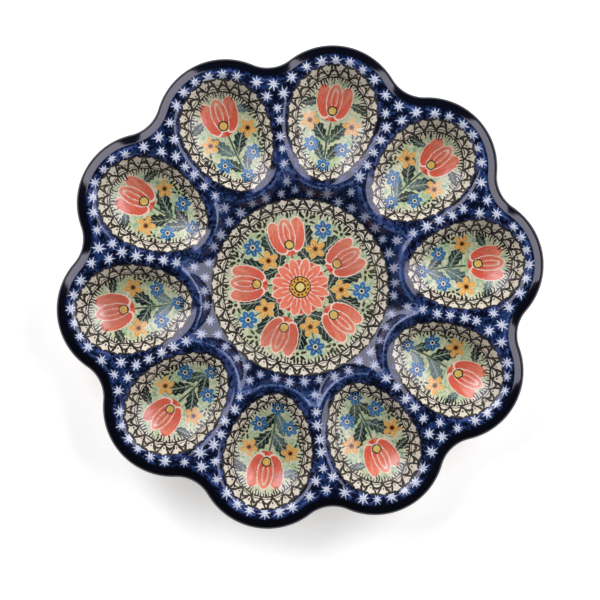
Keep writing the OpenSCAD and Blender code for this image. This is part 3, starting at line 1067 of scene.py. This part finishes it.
# %% [markdown]
# ## The ware underneath
# Under the glaze is the fired clay. Its underside shows: it swells below each well, comes together under the
# bowl and stands on a foot ring. It is one closed piece, from a polar grid that runs from the middle of the
# underside out to the rim, and back to the middle just below the glaze of the top. The rows are rings, and
# they change from circles near the foot to the scalloped outline at the edge.

# %% The underside's height
UNDER_BLEND, CONE_BLEND = 5.0, 3.0
EDGE_LIFT, OUTLINE_POINTS = 0.1, 2001      # the clay's edge above the rim's underside; points of one outline


def under_height(px, py):
    r = np.hypot(px, py)
    x, y = to_lobe(px, py)
    reach = MOUTH_R + WALL / 2
    cone = UNDER_Z + (r - FOOT_R) * (web_height(reach) - WALL - UNDER_Z) / (reach - FOOT_R)
    web = np.minimum(web_height(r) - WALL, HEIGHT - RIM_H + EDGE_LIFT)
    return lower_of(lower_of(cone, web, CONE_BLEND)[0], well_height(x, y, WALL), UNDER_BLEND)[0]


def edge_radius(angle, inset):
    """Radius of the outline, moved in by inset, in each direction from the middle."""
    walk = outline_point(np.linspace(-1, 1, OUTLINE_POINTS), inset)
    folded = angle - np.round(angle / PITCH) * PITCH
    return np.interp(folded, np.arctan2(walk[:, 1], walk[:, 0]), np.hypot(walk[:, 0], walk[:, 1]))


# %% The ware, ring by ring
RING_STEPS = 36                       # steps of one ring to a lobe
FOOT_RINGS = [(0.0, 7.35), (12.0, 7.35), (24.0, 7.35), (36.0, 7.35), (44.0, 7.35), (46.6, 7.35), (47.0, 7.0),
              (47.0, 6.2), (47.0, 4.5), (47.0, 2.6), (47.0, 1.2), (47.15, 0.6), (47.6, 0.15), (48.2, 0.0),
              (50.0, 0.0), (51.8, 0.0), (52.4, 0.15), (52.85, 0.6), (53.0, 1.2), (53.0, 2.6), (53.0, 4.4),
              (53.1, 5.8), (53.5, 6.9)]
FOOT_END_R, FOOT_END_Z = FOOT_RINGS[-1]
UNDER_RINGS, TOP_RINGS = 44, 56
EDGE_IN, EDGE_DROP, HIDDEN = 1.3, 2.6, 0.9      # how far the clay keeps inside and below the glaze
EDGE_BEND = 12                        # how late the clay's top bends down to its edge
WIPED_TO, SPARE = 0.9, 0.1            # how high the ring is wiped, and a little on either side of it
angles = np.linspace(0, 2 * math.pi, LOBES * RING_STEPS + 1)
reach = edge_radius(angles, EDGE_IN)
rings = [at_height(polar(r, angles), z) for r, z in FOOT_RINGS]
for share in np.linspace(0, 1, UNDER_RINGS)[1:]:
    xy = polar(FOOT_END_R + (reach - FOOT_END_R) * share, angles)
    rings.append(at_height(xy, np.maximum(under_height(*xy.T), FOOT_END_Z)))
for share in np.linspace(0, 1, TOP_RINGS)[::-1]:
    xy = polar(reach * share, angles)
    top = np.minimum(top_height(*xy.T)[0], HEIGHT - EDGE_DROP * share ** EDGE_BEND)
    rings.append(at_height(xy, top - HIDDEN))
ware_bm = new_grid(rings)
weld(ware_bm)
for face in ware_bm.faces:
    x, y, z = face.calc_center_median() / MM
    wiped = z < WIPED_TO and FOOT_R - FOOT_W - SPARE < math.hypot(x, y) < FOOT_R + SPARE
    face.material_index = 1 if wiped else 0
place_piece(finished_mesh(ware_bm, "stoneware"), [clear, bare], "stoneware_body")

# %% The glazed recess inside the foot ring
RECESS = [(0.0, 7.0), (14.0, 7.0), (28.0, 7.0), (40.0, 7.0), (44.6, 6.98), (45.8, 6.85), (46.5, 6.5),
          (46.9, 5.9), (46.98, 5.3), (46.99, 7.3), (40.0, 7.34), (20.0, 7.34), (0.0, 7.34)]
recess_bm = new_grid([at_height(polar(r, angles), z) for r, z in RECESS])
weld(recess_bm)
place_piece(finished_mesh(recess_bm, "foot_recess"), [clear], "foot_recess_glaze")

# %% [markdown]
# ## Floor, light and camera
# The photograph looks straight at the platter's face, so the camera hangs above its middle with a long lens,
# and it is rolled until the lobes stand as they do there. The scene has a plain white floor and two
# softboxes, one to the upper left and one to the right, whose reflections draw the rim and the shoulders.
# There is no light overhead, because its reflection would lie grey on the flat cobalt. A faint world fills
# the shadows. All this is large, so it is set out in metres.

# %% Floor
FLOOR_WIDE, FLOOR_GAP = 4.0, 0.3 * MM  # just clear of the foot
FLOOR_GLOW = 0.47                     # emission that only the camera and reflections see
floor_bm = bmesh.new()
bmesh.ops.create_circle(floor_bm, cap_ends=True, segments=64, radius=FLOOR_WIDE)
floor_mesh = finished_mesh(floor_bm, "floor")
floor_mesh.transform(Matrix.Translation((0, 0, -FLOOR_GAP)))
paper, tree, shader = new_material("white_paper")
ray = add_node(tree, "LightPath")
seen = Tone(ray.outputs["Is Camera Ray"]).most(Tone(ray.outputs["Is Glossy Ray"]))
fill(shader, {
    "Base Color": paint("#f4f4f4", "#f7f7f7", clouds(in_mm(tree), 0.02, 2.0)), "Roughness": 0.9,
    "Specular IOR Level": 0.2, "Emission Color": (1, 1, 1, 1), "Emission Strength": seen * FLOOR_GLOW})
floor_mesh.materials.append(paper)
place_object(floor_mesh)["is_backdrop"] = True

# %% Lights
ROLL = math.radians(-7.3)
RIGHT = Vector((math.cos(ROLL), math.sin(ROLL), 0))
UP = Vector((-math.sin(ROLL), math.cos(ROLL), 0))
LAMP_COLOUR, SKY_COLOUR, SKY_STRENGTH = (0.98, 0.97, 1.0), (0.93, 0.95, 1.0, 1), 0.06


def softbox(name, right, up, height, wide, tall, watts):
    """A rectangular light, placed in the photograph's own left-right and up-down, aimed at the platter."""
    data = bpy.data.lights.new(name, "AREA")
    data.shape, data.size, data.size_y = "RECTANGLE", wide, tall
    data.energy, data.color = watts, LAMP_COLOUR
    light = place_object(data)
    light.location = RIGHT * right + UP * up + Vector((0, 0, height))
    light.rotation_mode = "QUATERNION"
    light.rotation_quaternion = (-light.location).to_track_quat("-Z", "Y")


softbox("left_softbox", -1.0, 0.86, 0.88, 1.15, 1.25, 22)
softbox("right_softbox", 1.17, 0.36, 0.85, 1.5, 0.95, 20)
world = bpy.data.worlds.new("studio")
world.use_nodes = True
fill(world.node_tree.nodes["Background"], {"Color": SKY_COLOUR, "Strength": SKY_STRENGTH})
bpy.context.scene.world = world
bpy.context.scene.view_settings.view_transform = "Standard"
print("lights:", [light.name for light in bpy.data.lights])

# %% Camera
VIEW_W, DISTANCE = 341.6, 1.7         # width of the view at the height of the rim; metres above the rim
SENSOR, ASIDE, BELOW = 36.0, -0.1, -7.4
camera_data = bpy.data.cameras.new("camera")
camera_data.sensor_width = SENSOR
camera_data.lens = SENSOR * DISTANCE / (VIEW_W * MM)
camera = place_object(camera_data)
camera.location = RIGHT * (ASIDE * MM) + UP * (BELOW * MM) + Vector((0, 0, DISTANCE + HEIGHT * MM))
camera.rotation_euler = (0, 0, ROLL)
bpy.context.scene.camera = camera
print("lens:", round(camera_data.lens, 1), "mm")

# %% Sizes for the record, and the end
made_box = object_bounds()
show_box("visual box in mm:", made_box)
